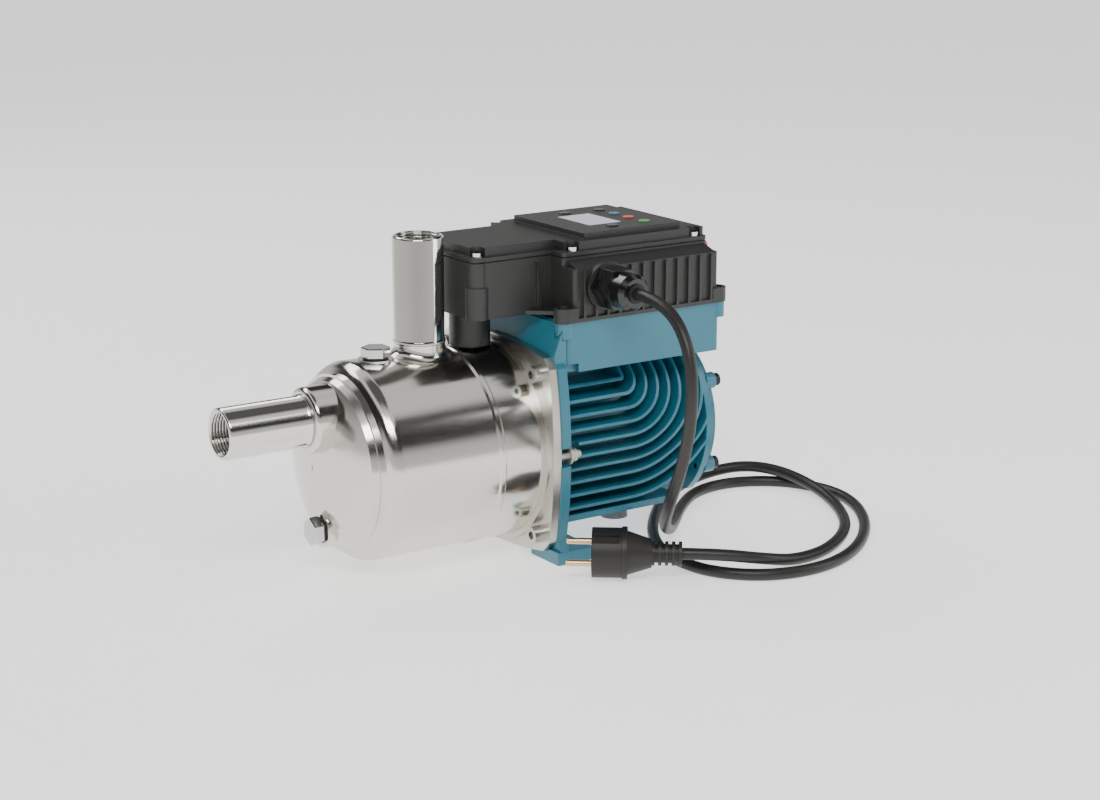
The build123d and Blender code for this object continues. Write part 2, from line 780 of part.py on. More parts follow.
with BuildPart() as motor_frame:
    add(fin_block.part)
    extrude(envelope.sketch, amount=fin_len, mode=Mode.INTERSECT)
    bar(frame_end_x - rim_t, frame_end_x, fin_r)
    with BuildSketch(Plane.XY.offset(frame_low_z)):
        Rectangle(600, 600)
    extrude(amount=-60, mode=Mode.SUBTRACT)
    bar(bracket_x, frame_end_x, stator_r + frame_wall)
    # flat base and neck to the box
    with BuildSketch(Plane.XY.offset(frame_low_z)):
        with Locations(((bracket_x + base_end_x) / 2, 0)):
            Rectangle(base_end_x - bracket_x, 2 * side_low)
    extrude(amount=5)
    with BuildSketch(Plane.XY.offset(frame_low_z)):
        with Locations(((bracket_x + frame_end_x) / 2, 0)):
            Rectangle(fin_len, 50)
    extrude(amount=20)
    with BuildSketch(Plane.XY.offset(shaft_z + 40)):
        with Locations(((box_x0 + 3 + frame_end_x) / 2, 0)):
            Rectangle(frame_end_x - box_x0 - 3, 66)
    extrude(amount=box_z0 - shaft_z - 40)
    # box for the drive, open at the top
    with BuildSketch(Plane.XY.offset(box_z0)):
        with Locations(((box_x0 + box_x1) / 2, 0)):
            RectangleRounded(box_x1 - box_x0, 2 * box_y, 4)
    extrude(amount=box_z1 - box_z0)
    with BuildSketch(Plane.XY.offset(box_z0 + box_wall + 2)):
        with Locations(((box_x0 + box_x1) / 2, 0)):
            Rectangle(box_x1 - box_x0 - 2 * box_wall, 2 * (box_y - box_wall))
    extrude(amount=60, mode=Mode.SUBTRACT)
    for side in (-1, 1):
        with BuildSketch(Plane.XY.offset(box_z0 - 1)):
            with Locations((box_x0 + notch_len / 2, side * box_y)):
                Rectangle(notch_len + 0.2, 8)
        extrude(amount=notch_rise + 1, mode=Mode.SUBTRACT)
    bar(bracket_x, frame_end_x, stator_r, mode=Mode.SUBTRACT)
    # posts that carry the power board, and corner bosses for the housing screws
    for x in (12, 124):
        for y in (-52, 52):
            with BuildSketch(Plane.XY.offset(box_z0 + box_wall)):
                with Locations((x, y)):
                    Circle(4)
            extrude(amount=26)
    for x, y in ear_spots:
        with BuildSketch(Plane.XY.offset(box_z1 - 12)):
            with Locations((x, y)):
                Circle(ear_boss_r)
        extrude(amount=12)
        with BuildSketch(Plane.XY.offset(box_z1)):
            with Locations((x, y)):
                Circle(2.5 + run_gap)
        extrude(amount=-10, mode=Mode.SUBTRACT)
    # clearance round the side studs, and threads for the rear shield
    for side in (-1, 1):
        bar(bracket_x, bracket_x + 13, 9.5, side * stud_y, mode=Mode.SUBTRACT)
    for y, z in shield_spots:
        bar(frame_end_x - 6, frame_end_x, 2.5 + run_gap, y, z, mode=Mode.SUBTRACT)
save(motor_frame, "motor_frame")

# ---------------------------------------------------------------- support under the motor
support_x = 92.0
with BuildPart() as rear_support:
    with BuildSketch(Plane.XY):
        with Locations((support_x, 0)):
            Circle(11)
    extrude(amount=frame_low_z, taper=8)
save(rear_support, "rear_support")

# ---------------------------------------------------------------- rear shield and its screws
with BuildPart() as rear_shield:
    bar(frame_end_x, shield_back_x, fin_r - 6)
    for y, z in shield_spots:
        bar(frame_end_x, shield_back_x + 2, 6.5, y, z)
    bar(rear_bearing_x, shield_back_x, rear_bearing_r + 4)
    bar(frame_end_x - 4, frame_end_x, stator_r - run_gap)
    bar(rear_bearing_x, frame_end_x, rear_bearing_r, mode=Mode.SUBTRACT)
    bar(shield_back_x, shield_back_x + 4, rear_bearing_r + 8)
    with BuildSketch(Plane.XY.offset(box_z0 - 0.5)):
        Rectangle(400, 400)
    extrude(amount=50, mode=Mode.SUBTRACT)
    for y, z in shield_spots:
        bar(frame_end_x, shield_back_x + 2, 2.5 + run_gap, y, z, mode=Mode.SUBTRACT)
save(rear_shield, "rear_shield")

with BuildPart() as shield_screws:
    for y, z in shield_spots:
        bar(shield_back_x + 2, shield_back_x + 7, 5.0, y, z)
        bar(frame_end_x - 5, shield_back_x + 2, 2.5, y, z)
        bar(shield_back_x + 5, shield_back_x + 7, 2.2, y, z, mode=Mode.SUBTRACT)
save(shield_screws, "shield_screws")

# ---------------------------------------------------------------- drive housing
nose_x1 = drive_x0 + 6.0
drive_mid_x = (drive_x0 + drive_x1) / 2
drive_len = drive_x1 - drive_x0
rib_count = 12
rib_t = 2.0
rib_rise = 2.5
ear_r = 7.5
nose_screws = [(nose_x0 + 7.0, y) for y in (-nose_y + 6.5, nose_y - 6.5)]
main_screws = [(x, y) for x in (drive_x0 + 11.0, drive_x1 - 10.0) for y in (-lid_y + 5.0, lid_y - 5.0)]
lid_spots = nose_screws + main_screws


def block(x0, x1, half_y, z0, z1, mode=Mode.ADD, corner=0.0):
    """A box along X, the same to both sides of the middle plane."""
    with BuildSketch(Plane.XY.offset(z0)) as section:
        with Locations(((x0 + x1) / 2, 0)):
            if corner:
                RectangleRounded(x1 - x0, 2 * half_y, corner)
            else:
                Rectangle(x1 - x0, 2 * half_y)
    extrude(section.sketch, amount=z1 - z0, mode=mode)


with BuildPart() as drive_housing:
    block(drive_x0, drive_x1, drive_y - rib_rise, box_z1, drive_rib_top, corner=3)
    block(drive_x0, drive_x1, lid_y, box_z1, drive_top_z, corner=3)
    block(nose_x0, nose_x1, nose_y, nose_z0, drive_top_z, corner=5)
    # sloping cheeks between the wide ribbed part and the lid
    with BuildSketch(Plane.YZ.offset(drive_x0 + 3)):
        with BuildLine():
            Polyline(
                (-drive_y + rib_rise, drive_rib_top),
                (-lid_y, drive_top_z - 1.5),
                (lid_y, drive_top_z - 1.5),
                (drive_y - rib_rise, drive_rib_top),
                close=True,
            )
        make_face()
    extrude(amount=drive_len - 6)
    # gussets between the nose and the wide part
    for side in (-1, 1):
        with BuildSketch(Plane.XY.offset(nose_z0)):
            with BuildLine():
                Polyline(
                    (drive_x0 - 22, side * nose_y),
                    (drive_x0 + 4, side * nose_y),
                    (drive_x0 + 4, side * (nose_y + 22)),
                    close=True,
                )
            make_face()
        extrude(amount=3)
        for x, rise in ((drive_x0 - 12, 3.0),):
            with BuildSketch(Plane.XZ.offset(-side * (nose_y - 1))):
                with BuildLine():
                    Polyline((x - 1.5, drive_top_z - 4), (x + 4, nose_z0), (x - 1.5, nose_z0), close=True)
                make_face()
            extrude(amount=-side * (rise + 1))
    # corner pillars of the nose with their thicker feet
    for x, y in nose_screws:
        with BuildSketch(Plane.XY.offset(nose_z0)):
            with Locations((x, y)):
                Circle(8.5)
        extrude(amount=24)
        with BuildSketch(Plane.XY.offset(nose_z0)):
            with Locations((x, y)):
                Circle(7.2)
        extrude(amount=drive_top_z - nose_z0)
    # cooling ribs down both sides
    for side in (-1, 1):
        for number in range(rib_count):
            x = drive_x0 + 8.0 + number * (drive_len - 16.0) / (rib_count - 1)
            with BuildSketch(Plane.XY.offset(box_z1 + 2.5)):
                with Locations((x, side * (drive_y - rib_rise / 2 - 0.5))):
                    Rectangle(rib_t, rib_rise + 1)
            extrude(amount=drive_rib_top - box_z1 - 3.5)
        with BuildSketch(Plane.XY.offset(box_z1)):
            with Locations((drive_mid_x, side * (drive_y - rib_rise / 2 - 0.5))):
                Rectangle(drive_len, rib_rise + 1)
        extrude(amount=3)
    # boss for the cable gland
    with BuildSketch(Plane.XZ.offset(drive_y - 4)):
        with Locations((gland_x, gland_z)):
            Circle(18)
    extrude(amount=5.5)
    # ears for the housing screws
    for x, y in ear_spots:
        with BuildSketch(Plane.XY.offset(box_z1)):
            with Locations((x, y)):
                Circle(ear_r)
            with Locations((x + (4 if x < drive_mid_x else -4), y)):
                Rectangle(9, 2 * ear_r)
        extrude(amount=11)
    # hollow, open upwards under the lid and downwards into the box
    block(drive_x0 + plastic, drive_x1 - plastic, drive_y - rib_rise - plastic, box_z1 - 1, drive_rib_top - plastic,
          mode=Mode.SUBTRACT)
    block(drive_x0 + plastic, drive_x1 - plastic, lid_y - 10, box_z1 - 1, drive_top_z + 1, mode=Mode.SUBTRACT)
    block(drive_x0 + 22, drive_x1 - 22, lid_y - plastic, box_z1 - 1, drive_top_z + 1, mode=Mode.SUBTRACT)
    block(nose_x0 + 15.0, drive_x0 + 10, nose_y - plastic, nose_z0 + plastic, drive_top_z + 1, mode=Mode.SUBTRACT)
    block(nose_x0 + plastic, drive_x0 + 10, nose_y - 14.5, nose_z0 + plastic, drive_top_z + 1, mode=Mode.SUBTRACT)
    for x, y in lid_spots:
        with BuildSketch(Plane.XY.offset(drive_top_z)):
            with Locations((x, y)):
                Circle(lid_screw_r + run_gap)
        extrude(amount=-14, mode=Mode.SUBTRACT)
    for x, y in ear_spots:
        with BuildSketch(Plane.XY.offset(box_z1 + 6)):
            with Locations((x, y)):
                Circle(4.9)
        extrude(amount=20, mode=Mode.SUBTRACT)
        with BuildSketch(Plane.XY.offset(box_z1 + 6)):
            with Locations((x, y)):
                Circle(2.5 + run_gap)
        extrude(amount=-7, mode=Mode.SUBTRACT)
    with BuildSketch(Plane.XZ.offset(drive_y - 20)):
        with Locations((gland_x, gland_z)):
            Circle(gland_stem_r + run_gap)
    extrude(amount=30, mode=Mode.SUBTRACT)
    # seat of the flow sensor under the nose
    with BuildSketch(Plane.XY.offset(nose_z0 - 1)):
        with Locations((sensor_x, 0)):
            Circle(9 + run_gap)
    extrude(amount=plastic + 2, mode=Mode.SUBTRACT)
save(drive_housing, "drive_housing")

with BuildPart() as housing_screws:
    for x, y in ear_spots:
        with BuildSketch(Plane.XY.offset(box_z1 + 6)):
            with Locations((x, y)):
                Circle(4.4)
        extrude(amount=4)
        with BuildSketch(Plane.XY.offset(box_z1 + 6)):
            with Locations((x, y)):
                Circle(2.5)
        extrude(amount=-14)
        with BuildSketch(Plane.XY.offset(box_z1 + 10)):
            with Locations((x, y)):
                RegularPolygon(2.0, 6)
        extrude(amount=-2.5, mode=Mode.SUBTRACT)
save(housing_screws, "housing_screws")

# ---------------------------------------------------------------- flow sensor in the casing
with BuildPart() as flow_sensor:
    with BuildSketch(Plane.XY.offset(crown_z + 1.2)):
        with Locations((sensor_x, 0)):
            Circle(15.5)
    extrude(amount=nose_z0 - crown_z - 1.2)
    with BuildSketch(Plane.XY.offset(nose_z0)):
        with Locations((sensor_x, 0)):
            Circle(9)
    extrude(amount=plastic + 4)
    with BuildSketch(Plane.XY.offset(crown_z + 1.2)):
        with Locations((sensor_x, 0)):
            Circle(sensor_stem_r)
    extrude(amount=-12)
save(flow_sensor, "flow_sensor")

# ---------------------------------------------------------------- lid
with BuildPart() as drive_lid:
    block(drive_x0, drive_x1, lid_y, lid_z, lid_z + lid_rim_t, corner=3)
    block(nose_x0, nose_x1, nose_y, lid_z, lid_z + lid_rim_t, corner=5)
    with BuildSketch(Plane.XY.offset(lid_z)):
        with Locations(((drive_x0 + 6 + drive_x1 - 2) / 2, 0)):
            Rectangle(drive_x1 - drive_x0 - 8, 2 * lid_y - 6)
    extrude(amount=nose_top_z - lid_z)
    block(nose_x0 + 3, nose_x1, nose_y - 3, lid_z, nose_top_z)
    block(panel_x0, panel_x1, panel_y, lid_z, panel_z)
    # screw pockets at the corners
    for x, y in lid_spots:
        outward = 1 if y > 0 else -1
        with BuildSketch(Plane.XY.offset(lid_z + lid_rim_t)):
            with Locations((x, y)):
                Circle(lid_screw_head_r + 1.2)
            with Locations((x, y + outward * 8)):
                Rectangle(2 * lid_screw_head_r + 2.4, 16)
        extrude(amount=20, mode=Mode.SUBTRACT)
    # hollow underside
    block(drive_x0 + 22, drive_x1 - 22, lid_y - 8, lid_z, nose_top_z - plastic, mode=Mode.SUBTRACT)
    block(panel_x0 + plastic, panel_x1 - plastic, panel_y - plastic, lid_z, skin_z, mode=Mode.SUBTRACT)
    block(nose_x0 + 16, drive_x0 + 10, nose_y - 6, lid_z, nose_top_z - plastic, mode=Mode.SUBTRACT)
    for x, y in lid_spots:
        with BuildSketch(Plane.XY.offset(lid_z)):
            with Locations((x, y)):
                Circle(lid_screw_r + run_gap)
        extrude(amount=lid_rim_t, mode=Mode.SUBTRACT)
    # posts for the control board
    for x in (panel_x0 + 8, panel_x1 - 8):
        for y in (-panel_y + 8, panel_y - 8):
            with BuildSketch(Plane.XY.offset(skin_z - 4.5)):
                with Locations((x, y)):
                    Circle(2.5)
            extrude(amount=5)
    # window pocket and button holes
    with BuildSketch(Plane.XY.offset(panel_z)):
        with Locations(((window_x0 + window_x1) / 2, 0)):
            Rectangle(window_x1 - window_x0 + 2 * run_gap, 2 * window_y + 2 * run_gap)
    extrude(amount=-1.2, mode=Mode.SUBTRACT)
    near_row = [(near_row_x, y) for y in (-32.0, 32.0)]
    far_row = [(far_row_x, y) for y in (-30.0, -9.0, 10.0, 30.0)]
    for spot in near_row + far_row:
        with BuildSketch(Plane.XY.offset(panel_z)):
            with Locations(spot):
                Circle(button_r + clear)
        extrude(amount=-10, mode=Mode.SUBTRACT)
save(drive_lid, "drive_lid")

with BuildPart() as lid_gasket:
    block(drive_x0 + 1, drive_x1 - 1, lid_y - 1, drive_top_z, lid_z, corner=2)
    block(nose_x0 + 1, nose_x1, nose_y - 1, drive_top_z, lid_z, corner=4)
    block(drive_x0 + 22, drive_x1 - 22, lid_y - plastic, drive_top_z, lid_z, mode=Mode.SUBTRACT)
    block(nose_x0 + 16, drive_x0 + 30, nose_y - plastic, drive_top_z, lid_z, mode=Mode.SUBTRACT)
    for x, y in lid_spots:
        with BuildSketch(Plane.XY.offset(drive_top_z)):
            with Locations((x, y)):
                Circle(lid_screw_r + run_gap)
        extrude(amount=gasket_t, mode=Mode.SUBTRACT)
save(lid_gasket, "lid_gasket")

with BuildPart() as lid_screws:
    head_z = lid_z + lid_rim_t
    for x, y in lid_spots:
        with BuildSketch(Plane.XY.offset(head_z)):
            with Locations((x, y)):
                Circle(lid_screw_head_r)
        extrude(amount=3.2)
        with BuildSketch(Plane.XY.offset(head_z)):
            with Locations((x, y)):
                Circle(lid_screw_r)
        extrude(amount=-15)
        with BuildSketch(Plane.XY.offset(head_z + 3.2)):
            with Locations((x, y)):
                RegularPolygon(1.7, 6)
        extrude(amount=-1.8, mode=Mode.SUBTRACT)
save(lid_screws, "lid_screws")

with BuildPart() as display_window:
    with BuildSketch(Plane.XY.offset(panel_z - 1.2)):
        with Locations(((window_x0 + window_x1) / 2, 0)):
            Rectangle(window_x1 - window_x0, 2 * window_y)
    extrude(amount=1.35)
save(display_window, "display_window")

with BuildPart() as status_lamp:
    lamp_y = -lid_y + 7
    with BuildSketch(Plane.YZ.offset(drive_x1)):
        with Locations((lamp_y, drive_top_z - 4.5)):
            Circle(3.2)
    extrude(amount=4.5)
    fillet(status_lamp.faces().sort_by(Axis.X)[-1].edges(), 2.0)
save(status_lamp, "status_lamp")

# ---------------------------------------------------------------- boards inside
with BuildPart() as control_board:
    block(panel_x0 + 4, panel_x1 - 4, panel_y - 4, skin_z - 6.1, skin_z - 4.5)
save(control_board, "control_board")

board_z = box_z0 + box_wall + 26
with BuildPart() as power_board:
    block(8, 128, 58, board_z, board_z + 1.6)
save(power_board, "power_board")

with BuildPart() as capacitors:
    for y in (-30, 0, 30):
        with BuildSketch(Plane.XY.offset(board_z + 1.6)):
            with Locations((100, y)):
                Circle(12.5)
        extrude(amount=38)
save(capacitors, "capacitors")

# ---------------------------------------------------------------- keypad
button_top_z = panel_z + button_rise
for name, (x, y) in zip(
    ("button_minus", "button_plus", "button_start", "button_stop", "button_mode", "button_set"),
    near_row + far_row,
):
    with BuildPart() as button:
        with BuildSketch(Plane.XY.offset(skin_z - 1.4)):
            with Locations((x, y)):
                Circle(button_flange_r)
        extrude(amount=1.35)
        with BuildSketch(Plane.XY.offset(skin_z - 0.05)):
            with Locations((x, y)):
                Circle(button_r)
        extrude(amount=button_top_z - skin_z + 0.05)
        chamfer(button.faces().sort_by(Axis.Z)[-1].edges(), 0.5)
    save(button, name)

# ---------------------------------------------------------------- cable gland
wall_y = drive_y - 4 + 5.5
nut_y = wall_y + 8.0
gland_end = -gland_end_y


def gland_bar(y0, y1, radius, mode=Mode.ADD):
    """A round bar along -Y on the gland's axis, between two distances from the middle."""
    with BuildSketch(Plane.XZ.offset(y0)) as section:
        with Locations((gland_x, gland_z)):
            Circle(radius)
    extrude(section.sketch, amount=y1 - y0, mode=mode)


with BuildPart() as gland_body:
    with BuildSketch(Plane.XZ.offset(wall_y)):
        with Locations((gland_x, gland_z)):
            RegularPolygon(gland_hex / 2, 6, major_radius=False)
    extrude(amount=nut_y - wall_y)
    gland_bar(wall_y - 12, wall_y, gland_stem_r)
    gland_bar(nut_y, nut_y + 12, gland_stem_r - 1)
    gland_bar(wall_y - 12, nut_y + 12, 8.0, mode=Mode.SUBTRACT)
save(gland_body, "gland_body")

with BuildPart() as gland_nut:
    with BuildSketch(Plane.XZ.offset(nut_y + 0.5)):
        with Locations((gland_x, gland_z)):
            RegularPolygon(gland_hex / 2, 6, major_radius=False)
    extrude(amount=10)
    gland_bar(nut_y + 10.5, gland_end - 4, 13.6)
    with BuildSketch(Plane.XZ.offset(gland_end - 4)):
        with Locations((gland_x, gland_z)):
            Circle(13.6)
    extrude(amount=4, taper=35)
    gland_bar(nut_y + 0.5, nut_y + 13, gland_stem_r - 1 + run_gap, mode=Mode.SUBTRACT)
    gland_bar(nut_y, gland_end, 7.2, mode=Mode.SUBTRACT)
save(gland_nut, "gland_nut")

with BuildPart() as gland_seal:
    gland_bar(wall_y - 8, nut_y + 12, 8.0)
    gland_bar(nut_y + 12, gland_end + 1.5, 7.1)
save(gland_seal, "gland_seal")

# ---------------------------------------------------------------- mains plug
# it lies on the floor beside the foot, its pins pointing away from the coil of lead
plug_entry = Vector(43.0, -155.0, plug_ring_r + 0.2)
plug_dir = Vector(-0.8, 0.6, 0)
plug_plane = Plane(origin=plug_entry, x_dir=(0, 0, 1), z_dir=plug_dir)
relief_len = 24.0
cone_end = 40.0
ring_t = 4.0
plug_face = 66.0
pin_len = 19.0
pin_turn = 50.0                 # the pins' plane is turned this far from upright


def plug_bar(s0, s1, radius, taper=0.0):
    """A round stretch of the plug between two distances from where the lead enters."""
    with BuildSketch(plug_plane.offset(s0)) as section:
        Circle(radius)
    extrude(section.sketch, amount=s1 - s0, taper=taper)


with BuildPart() as plug_body:
    plug_bar(0, relief_len, 7.0)
    for number in range(5):
        plug_bar(number * 5.0, number * 5.0 + 2.6, 9.0)
    plug_bar(relief_len - 2, cone_end, 10.5, taper=-18)
    plug_bar(cone_end, cone_end + ring_t, plug_ring_r)
    plug_bar(cone_end + ring_t, plug_face, plug_r)
    with BuildSketch(plug_plane.offset(cone_end + ring_t + 2)):
        with PolarLocations(plug_r, 2, start_angle=pin_turn + 90):
            Rectangle(5, 7)
    extrude(amount=30, mode=Mode.SUBTRACT)
    with BuildSketch(plug_plane.offset(plug_face)):
        with PolarLocations(plug_pin_pitch / 2, 2, start_angle=pin_turn):
            Circle(plug_pin_r)
    extrude(amount=-12, mode=Mode.SUBTRACT)
save(plug_body, "plug_body")

with BuildPart() as plug_pins:
    with BuildSketch(plug_plane.offset(plug_face - 12)):
        with PolarLocations(plug_pin_pitch / 2, 2, start_angle=pin_turn):
            Circle(plug_pin_r)
    extrude(amount=12 + pin_len)
    chamfer(plug_pins.faces().sort_by(Axis(plug_entry, plug_dir))[-2:].edges(), 1.0)
save(plug_pins, "plug_pins")

# ---------------------------------------------------------------- mains lead
floor_z = cord_r
route = [
    (gland_x, -gland_end - 1.5, gland_z),
    (31, -138, gland_z),
    (30, -164.5, 196),
    (28.5, -182, 171),
    (27, -185, 131),
    (29, -172, 92),
    (36, -148, 57),
    (52, -120, 31),
    (78, -92, 14.5),
    (108, -58, 5.5),
    (140, -24, floor_z),
    (174, 3, floor_z),
    (210, 10, floor_z),
    (242, -2, floor_z),
    (264, -26, floor_z),
    (272, -66, floor_z),
    (258, -107, floor_z),
    (226, -151, floor_z),
    (182, -187, floor_z),
    (136, -203, floor_z),
    (92, -195, floor_z),
    (63, -166, floor_z),
    (57, -130, floor_z),
    (65, -96, floor_z),
    (84, -62, floor_z),
    (110, -30, floor_z),
    (140, 0, floor_z),
    (170, 22, floor_z),
    (203, 29, 9),
    (232, 15, 15.5),
    (250, -13, 15.5),
    (258, -52, 9),
    (247, -94, floor_z),
    (216, -140, floor_z),
    (170, -172, floor_z),
    (126, -184, 7),
    (92, -186, 15.5),
    tuple(plug_entry - plug_dir * 27),
    tuple(plug_entry),
]
runs = [(Vector(b) - Vector(a)) for a, b in zip(route, route[1:])]
radii = []
for before, after in zip(runs, runs[1:]):
    turn = before.get_angle(after)
    radii.append(0.45 * min(before.length, after.length) / tan(radians(turn / 2)))
print("lead: bend radii", [round(value) for value in radii])
with BuildPart() as power_cord:
    with BuildLine() as lead_path:
        FilletPolyline(*route, radius=radii)
    lead_length = sum(edge.length for edge in lead_path.edges())
    with BuildSketch(Plane(origin=route[0], z_dir=runs[0])):
        Circle(cord_r)
    sweep()
print("lead: length", round(lead_length), "volume ratio",
      round(power_cord.part.volume / (pi * cord_r ** 2 * lead_length), 4))
save(power_cord, "power_cord")
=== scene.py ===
# %% [markdown]
# # A horizontal booster pump with its own speed drive
# The CAD model of the pump is already packed as a fixed frame: every part has its size and place, and
# nothing here moves it. These cells add what CAD leaves out: finishes, light, a camera, the threads in
# the ports, and a mains lead that hangs and lies the way a real one does.

# %% Load the frame
import math
import bmesh
import bpy
from mathutils import Matrix, Vector


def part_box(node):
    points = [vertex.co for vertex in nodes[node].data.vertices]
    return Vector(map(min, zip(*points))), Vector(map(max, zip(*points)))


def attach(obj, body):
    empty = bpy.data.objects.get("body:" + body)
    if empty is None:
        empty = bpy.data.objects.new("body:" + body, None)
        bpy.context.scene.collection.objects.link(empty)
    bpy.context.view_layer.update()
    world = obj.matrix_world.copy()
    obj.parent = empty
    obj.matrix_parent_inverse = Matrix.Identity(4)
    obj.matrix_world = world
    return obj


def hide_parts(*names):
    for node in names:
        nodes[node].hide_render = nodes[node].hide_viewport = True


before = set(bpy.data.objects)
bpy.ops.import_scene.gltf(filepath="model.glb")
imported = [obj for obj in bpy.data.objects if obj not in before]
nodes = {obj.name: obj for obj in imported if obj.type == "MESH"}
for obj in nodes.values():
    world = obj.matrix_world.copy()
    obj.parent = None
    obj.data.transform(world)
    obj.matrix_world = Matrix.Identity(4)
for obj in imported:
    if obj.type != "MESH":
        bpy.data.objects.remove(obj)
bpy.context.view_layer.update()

# %% [markdown]
# ## Camera
# The pump is seen from the suction end, a little from above and from about 1.8 m away, through a
# longish lens, so upright edges stay nearly upright. The way the camera looks is given as an azimuth
# and an elevation round the pump, as a turntable operator would note it down, and its place as a point.

# %% Camera
azimuth, elevation = math.radians(-33.79), math.radians(14.59)
back = Vector((
    math.sin(azimuth) * math.cos(elevation),
    -math.cos(azimuth) * math.cos(elevation),
    math.sin(elevation),
))
camera = bpy.data.objects.new("camera", bpy.data.cameras.new("camera"))
bpy.context.scene.collection.objects.link(camera)
camera.location = (-0.9096, -1.4048, 0.5440)
camera.rotation_euler = (-back).to_track_quat("-Z", "Y").to_euler()
focal_length, frame_width = 2256.9, 1100     # in one unit, because only their ratio counts
camera.data.sensor_width = 36.0
camera.data.lens = camera.data.sensor_width * focal_length / frame_width
camera.data.clip_end = 50
bpy.context.scene.camera = camera
print("lens:", round(camera.data.lens, 1), "mm")

# %% [markdown]
# ## Two small helpers for materials
# Paint charts and colour pickers give sRGB hex values, but a shader works with linear light, so one
# function turns the first into the second. The other adds a node, sets its values and links its
# inputs in a single line, which keeps each recipe readable from top to bottom.

# %% Material helpers
def linear(code):
    """An sRGB hex colour as linear red, green, blue and alpha."""
    parts = [int(code[i:i + 2], 16) / 255 for i in (1, 3, 5)]
    return [c / 12.92 if c <= 0.04045 else ((c + 0.055) / 1.055) ** 2.4 for c in parts] + [1.0]


def add(material, kind, settings=None, **inputs):
    """Add a node. Settings are its own choices, inputs are values or the output of another node."""
    node = material.node_tree.nodes.new(kind)
    for name, value in (settings or {}).items():
        setattr(node, name, value)
    for name, value in inputs.items():
        socket = node.inputs[int(name[1:]) if name[1:].isdigit() else name.replace("_", " ")]
        if isinstance(value, bpy.types.NodeSocket):
            material.node_tree.links.new(value, socket)
        else:
            socket.default_value = value
    return node


def new_material(name):
    """An empty material whose output waits for a shader."""
    material = bpy.data.materials.new(name)
    material.use_nodes = True
    material.node_tree.nodes.clear()
    return material


def surface(material, shader):
    """Link the finished shader to the material's output."""
    add(material, "ShaderNodeOutputMaterial", Surface=shader.outputs[0])
    return material


print("steel grey in linear light:", [round(v, 3) for v in linear("#C8C6BC")[:3]])

# %% [markdown]
# ## The mains lead
# The lead is a round three-core flex in black PVC, 9 mm thick. It leaves the gland level, turns down
# under its own weight, meets the floor under the motor and lies in two loose turns beside the pump.
# Its line is one smooth curve led by a short list of places, because a flex never has a corner:
# stiffness spreads each bend. A bevelled curve keeps its length easy to measure. The bevel is one
# unit deep and each point's radius scales it down to the flex, because the box that Blender keeps
# round a curve is grown by that radius.

# %% Lead
lead_r = 0.0045
lead_route = [
    (0.032, -0.1115, 0.207), (0.031, -0.138, 0.207), (0.030, -0.1645, 0.196), (0.0285, -0.182, 0.171),
    (0.027, -0.185, 0.131), (0.029, -0.172, 0.092), (0.036, -0.148, 0.057), (0.052, -0.120, 0.031),
    (0.078, -0.092, 0.0145), (0.108, -0.058, 0.0055), (0.140, -0.024, 0.0045), (0.174, 0.003, 0.0045),
    (0.210, 0.010, 0.0045), (0.242, -0.002, 0.0045), (0.264, -0.026, 0.0045), (0.272, -0.066, 0.0045),
    (0.258, -0.107, 0.0045), (0.226, -0.151, 0.0045), (0.182, -0.187, 0.0045), (0.136, -0.203, 0.0045),
    (0.092, -0.195, 0.0045), (0.063, -0.166, 0.0045), (0.057, -0.130, 0.0045), (0.065, -0.096, 0.0045),
    (0.084, -0.062, 0.0045), (0.110, -0.030, 0.0045), (0.140, 0.000, 0.0045), (0.170, 0.022, 0.0045),
    (0.203, 0.029, 0.009), (0.232, 0.015, 0.0155), (0.250, -0.013, 0.0155), (0.258, -0.052, 0.009),
    (0.247, -0.094, 0.0045), (0.216, -0.140, 0.0045), (0.170, -0.172, 0.0045), (0.126, -0.184, 0.007),
    (0.092, -0.186, 0.0155), (0.0646, -0.1712, 0.0196), (0.043, -0.155, 0.0196),
]
lead_curve = bpy.data.curves.new("mains_lead", "CURVE")
lead_curve.dimensions = "3D"
lead_curve.bevel_depth = 1.0
lead_curve.bevel_resolution = 6
lead_curve.use_fill_caps = True
spline = lead_curve.splines.new("NURBS")
spline.points.add(len(lead_route) - 1)
for point, place in zip(spline.points, lead_route):
    point.co, point.radius = (*place, 1.0), lead_r
spline.order_u = 3
spline.use_endpoint_u = True
spline.resolution_u = 16
lead = bpy.data.objects.new("mains_lead", lead_curve)
bpy.context.scene.collection.objects.link(lead)
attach(lead, "pump_body")
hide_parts("power_cord")
print("lead points:", len(lead_route))

# %% [markdown]
# ## Stainless steel
# The barrel is deep drawn from 1.4301 sheet and then satin ground, which leaves it a warm grey with
# long soft reflections. The two pipes are drawn tube, brighter and with faint lines along their
# length. A metal shows almost nothing but its surroundings, so the roughness carries the finish:
# noise that is drawn out along the grind changes slowly that way and quickly across it. Plated and
# turned steels use the same recipe with noise that isn't drawn out.

# %% Stainless materials
stain_shade = 0.9          # how dark the cloudy patches are beside clean steel


